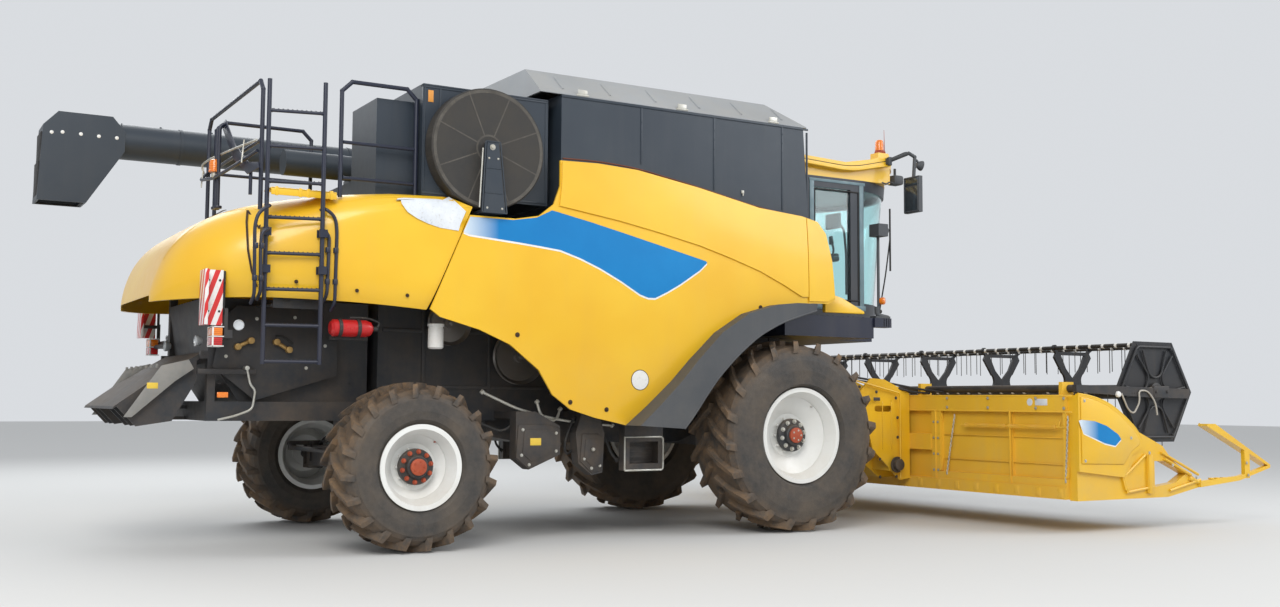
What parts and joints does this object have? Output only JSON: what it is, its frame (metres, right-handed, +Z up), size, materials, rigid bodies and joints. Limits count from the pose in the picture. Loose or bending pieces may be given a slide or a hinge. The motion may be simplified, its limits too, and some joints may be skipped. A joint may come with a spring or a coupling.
{
  "type": "combine harvester",
  "caption": "Combine harvester with a grain header and tined reel, raised grain tank, stowed unloading auger, cab, side shields and steered rear wheels.",
  "frame": {"origin": "middle of the whole box in plan, on the ground under the tyres", "axes": "+X forward to the header, +Y to the machine's left, +Z up"},
  "size_m": [10.94, 6.1, 4.01],
  "materials": {
    "painted_yellow": "gloss, weathered",
    "header_paint": "satin, worn",
    "chassis_black": "satin, dusty",
    "rail_navy": "satin",
    "tank_grey": "satin, dusty",
    "cover_grey": "satin, dusty",
    "dark_plastic": "matt",
    "cab_paint": "satin",
    "mesh_steel": "perforated, dusty",
    "cab_glass": "tinted",
    "lamp_amber": "clear",
    "tyre_rubber": "dusty",
    "rim_white": "gloss, dirty",
    "polished_steel": "polished",
    "worked_steel": "worn bright",
    "reel_black": "satin",
    "tine_steel": "satin"
  },
  "bodies": {
    "machine": {"chassis_frame": "chassis_black", "side_brackets": "chassis_black", "tail_frame": "chassis_black", "front_axle": "chassis_black", "rear_axle": "chassis_black", "threshing_body": "chassis_black", "grain_tank": "tank_grey", "engine_bay": "tank_grey", "engine": "chassis_black", "rear_hood": "painted_yellow", "chopper": "chassis_black", "platforms": "rail_navy", "deck_rails": "rail_navy", "auger_tower": "rail_navy", "cab_frame": "cab_paint", "cab_glass": "cab_glass", "cab_roof": "painted_yellow", "cab_seat": "dark_plastic", "mirrors": "dark_plastic", "lamps": "lamp_amber"},
    "front_wheel_right": {"front_tyre_right": "tyre_rubber", "front_rim_right": "rim_white"},
    "steering_right": {"knuckle_right": "chassis_black"},
    "rear_wheel_right": {"rear_tyre_right": "tyre_rubber", "rear_rim_right": "rim_white"},
    "front_wheel_left": {"front_tyre_left": "tyre_rubber", "front_rim_left": "rim_white"},
    "steering_left": {"knuckle_left": "chassis_black"},
    "rear_wheel_left": {"rear_tyre_left": "tyre_rubber", "rear_rim_left": "rim_white"},
    "tie_rod": {"tie_rod": "chassis_black"},
    "shield_right": {"side_shield_right": "painted_yellow", "fender_right": "dark_plastic"},
    "tank_cover_right": {"tank_cover_right": "cover_grey"},
    "shield_left": {"side_shield_left": "painted_yellow", "fender_left": "dark_plastic"},
    "tank_cover_left": {"tank_cover_left": "cover_grey"},
    "dust_screen": {"dust_screen": "mesh_steel"},
    "unloading_auger": {"unloading_auger": "tank_grey"},
    "cab_door": {"cab_door": "cab_paint"},
    "cab_ladder": {"cab_ladder": "rail_navy"},
    "rear_ladder": {"rear_ladder": "rail_navy"},
    "straw_deflector": {"straw_deflector": "chassis_black"},
    "header": {"feeder_house": "painted_yellow", "header_frame": "header_paint", "header_ends": "painted_yellow", "cutter_bar": "worked_steel"},
    "lift_barrels": {"lift_barrels": "chassis_black"},
    "lift_rods": {"lift_rods": "polished_steel"},
    "table_auger": {"table_auger": "worked_steel"},
    "reel_arms": {"reel_arms": "chassis_black"},
    "reel": {"reel": "reel_black"},
    "tine_bar_1": {"tine_bar_1": "tine_steel"},
    "tine_bar_2": {"tine_bar_2": "tine_steel"},
    "tine_bar_3": {"tine_bar_3": "tine_steel"},
    "tine_bar_4": {"tine_bar_4": "tine_steel"},
    "tine_bar_5": {"tine_bar_5": "tine_steel"},
    "tine_bar_6": {"tine_bar_6": "tine_steel"}
  },
  "joints": [
    {"name": "front_wheel_right_spin", "type": "hinge", "parent": "machine", "child": "front_wheel_right", "pos_m": [0.64, -1.4, 0.87], "axis": [0, 1, 0], "continuous": true},
    {"name": "front_wheel_left_spin", "type": "hinge", "parent": "machine", "child": "front_wheel_left", "pos_m": [0.64, 1.4, 0.87], "axis": [0, 1, 0], "continuous": true},
    {"name": "steer_right", "type": "hinge", "parent": "machine", "child": "steering_right", "pos_m": [-2.994, -1.1, 0.655], "axis": [0, 0, 1], "range_deg": [-28, 28]},
    {"name": "rear_wheel_right_spin", "type": "hinge", "parent": "steering_right", "child": "rear_wheel_right", "pos_m": [-2.994, -1.4, 0.655], "axis": [0, 1, 0], "continuous": true},
    {"name": "steer_left", "type": "hinge", "parent": "machine", "child": "steering_left", "pos_m": [-2.994, 1.1, 0.655], "axis": [0, 0, 1], "range_deg": [-28, 28]},
    {"name": "rear_wheel_left_spin", "type": "hinge", "parent": "steering_left", "child": "rear_wheel_left", "pos_m": [-2.994, 1.4, 0.655], "axis": [0, 1, 0], "continuous": true},
    {"name": "tie_rod_slide", "type": "slide", "parent": "machine", "child": "tie_rod", "axis": [0, 1, 0], "range_m": [-0.11, 0.11]},
    {"name": "side_shield_right_lift", "type": "hinge", "parent": "machine", "child": "shield_right", "pos_m": [-1.36, -1.56, 3.25], "axis": [-1, 0, 0], "range_deg": [0, 70]},
    {"name": "side_shield_left_lift", "type": "hinge", "parent": "machine", "child": "shield_left", "pos_m": [-1.36, 1.56, 3.25], "axis": [1, 0, 0], "range_deg": [0, 70]},
    {"name": "tank_cover_right_open", "type": "hinge", "parent": "machine", "child": "tank_cover_right", "pos_m": [-0.56, -1.52, 3.7403], "axis": [1, 0, 0], "range_deg": [0, 100]},
    {"name": "tank_cover_left_open", "type": "hinge", "parent": "machine", "child": "tank_cover_left", "pos_m": [-0.56, 1.19, 3.7403], "axis": [-1, 0, 0], "range_deg": [0, 100]},
    {"name": "dust_screen_spin", "type": "hinge", "parent": "machine", "child": "dust_screen", "pos_m": [-2.45, -1.53, 3.19], "axis": [0, 1, 0], "continuous": true},
    {"name": "unloading_auger_swing", "type": "hinge", "parent": "machine", "child": "unloading_auger", "pos_m": [1.06, 1.385, 3.5], "axis": [0, 0, 1], "range_deg": [-95, 0]},
    {"name": "cab_door_swing", "type": "hinge", "parent": "machine", "child": "cab_door", "pos_m": [1.406, 0.918, 2.7], "axis": [0, 0, 1], "range_deg": [0, 75]},
    {"name": "cab_ladder_swing", "type": "hinge", "parent": "machine", "child": "cab_ladder", "pos_m": [1.6, 1.5, 1.2], "axis": [0, 0, -1], "range_deg": [0, 90]},
    {"name": "rear_ladder_slide", "type": "slide", "parent": "machine", "child": "rear_ladder", "axis": [0, 0, -1], "range_m": [0, 0.9]},
    {"name": "straw_deflector_tip", "type": "hinge", "parent": "machine", "child": "straw_deflector", "pos_m": [-4.45, 0, 1.51], "axis": [0, -1, 0], "range_deg": [-20, 15]},
    {"name": "header_lift", "type": "hinge", "parent": "machine", "child": "header", "pos_m": [1.16, 0, 1.6], "axis": [0, -1, 0], "range_deg": [-6, 20]},
    {"name": "lift_barrels_turn", "type": "hinge", "parent": "machine", "child": "lift_barrels", "pos_m": [0.85, 0, 0.76], "axis": [0, -1, 0], "range_deg": [-5, 14]},
    {"name": "lift_rods_slide", "type": "slide", "parent": "lift_barrels", "child": "lift_rods", "axis": [0.9998, 0, -0.0196], "range_m": [-0.1, 0.3]},
    {"name": "table_auger_spin", "type": "hinge", "parent": "header", "child": "table_auger", "pos_m": [3.11, 0, 0.69], "axis": [0, 1, 0], "continuous": true},
    {"name": "reel_lift", "type": "hinge", "parent": "header", "child": "reel_arms", "pos_m": [2.78, 0, 1.31], "axis": [0, -1, 0], "range_deg": [0, 15]},
    {"name": "reel_spin", "type": "hinge", "parent": "reel_arms", "child": "reel", "pos_m": [3.905, 0, 1.29], "axis": [0, 1, 0], "continuous": true},
    {"name": "tine_bar_1_feather", "type": "hinge", "parent": "reel", "child": "tine_bar_1", "pos_m": [4.16, 0, 1.7317], "axis": [0, 1, 0], "continuous": true},
    {"name": "tine_bar_2_feather", "type": "hinge", "parent": "reel", "child": "tine_bar_2", "pos_m": [3.65, 0, 1.7317], "axis": [0, 1, 0], "continuous": true},
    {"name": "tine_bar_3_feather", "type": "hinge", "parent": "reel", "child": "tine_bar_3", "pos_m": [3.395, 0, 1.29], "axis": [0, 1, 0], "continuous": true},
    {"name": "tine_bar_4_feather", "type": "hinge", "parent": "reel", "child": "tine_bar_4", "pos_m": [3.65, 0, 0.8483], "axis": [0, 1, 0], "continuous": true},
    {"name": "tine_bar_5_feather", "type": "hinge", "parent": "reel", "child": "tine_bar_5", "pos_m": [4.16, 0, 0.8483], "axis": [0, 1, 0], "continuous": true},
    {"name": "tine_bar_6_feather", "type": "hinge", "parent": "reel", "child": "tine_bar_6", "pos_m": [4.415, 0, 1.29], "axis": [0, 1, 0], "continuous": true}
  ],
  "couplings": [
    {"joint": "steer_left", "follows": "steer_right", "ratio": 1},
    {"joint": "tie_rod_slide", "follows": "steer_right", "m_per_rad": -0.22},
    {"joint": "lift_barrels_turn", "follows": "header_lift", "ratio": 0.67},
    {"joint": "lift_rods_slide", "follows": "header_lift", "m_per_rad": 0.81},
    {"joint": "tine_bar_1_feather", "follows": "reel_spin", "ratio": -1},
    {"joint": "tine_bar_2_feather", "follows": "reel_spin", "ratio": -1},
    {"joint": "tine_bar_3_feather", "follows": "reel_spin", "ratio": -1},
    {"joint": "tine_bar_4_feather", "follows": "reel_spin", "ratio": -1},
    {"joint": "tine_bar_5_feather", "follows": "reel_spin", "ratio": -1},
    {"joint": "tine_bar_6_feather", "follows": "reel_spin", "ratio": -1}
  ]
}
